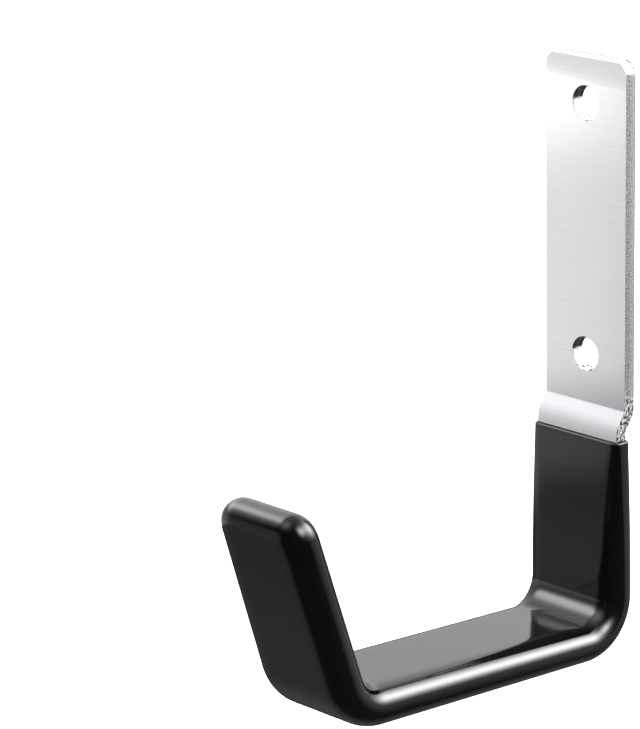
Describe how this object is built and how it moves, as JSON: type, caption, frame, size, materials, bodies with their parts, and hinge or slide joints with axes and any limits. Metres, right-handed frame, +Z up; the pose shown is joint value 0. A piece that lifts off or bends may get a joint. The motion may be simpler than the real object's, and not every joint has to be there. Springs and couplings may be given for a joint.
{
  "type": "utility hook",
  "caption": "Wall hook of bent flat steel bar: a screwed back plate, a deep open cradle and a leaning front tip, dipped in black vinyl.",
  "frame": {"origin": "on the wall, in the plane of the plate's back face, half way between the two screw holes", "axes": "X runs across the bar and is the axis of symmetry; the hook reaches out from the wall along -Y; Z is up, along the plate"},
  "size_m": [0.0294, 0.1081, 0.1423],
  "materials": {
    "strap": "satin",
    "sleeve": "gloss"
  },
  "bodies": {
    "root": {"steel_strap": "strap", "vinyl_sleeve": "sleeve"}
  },
  "joints": []
}
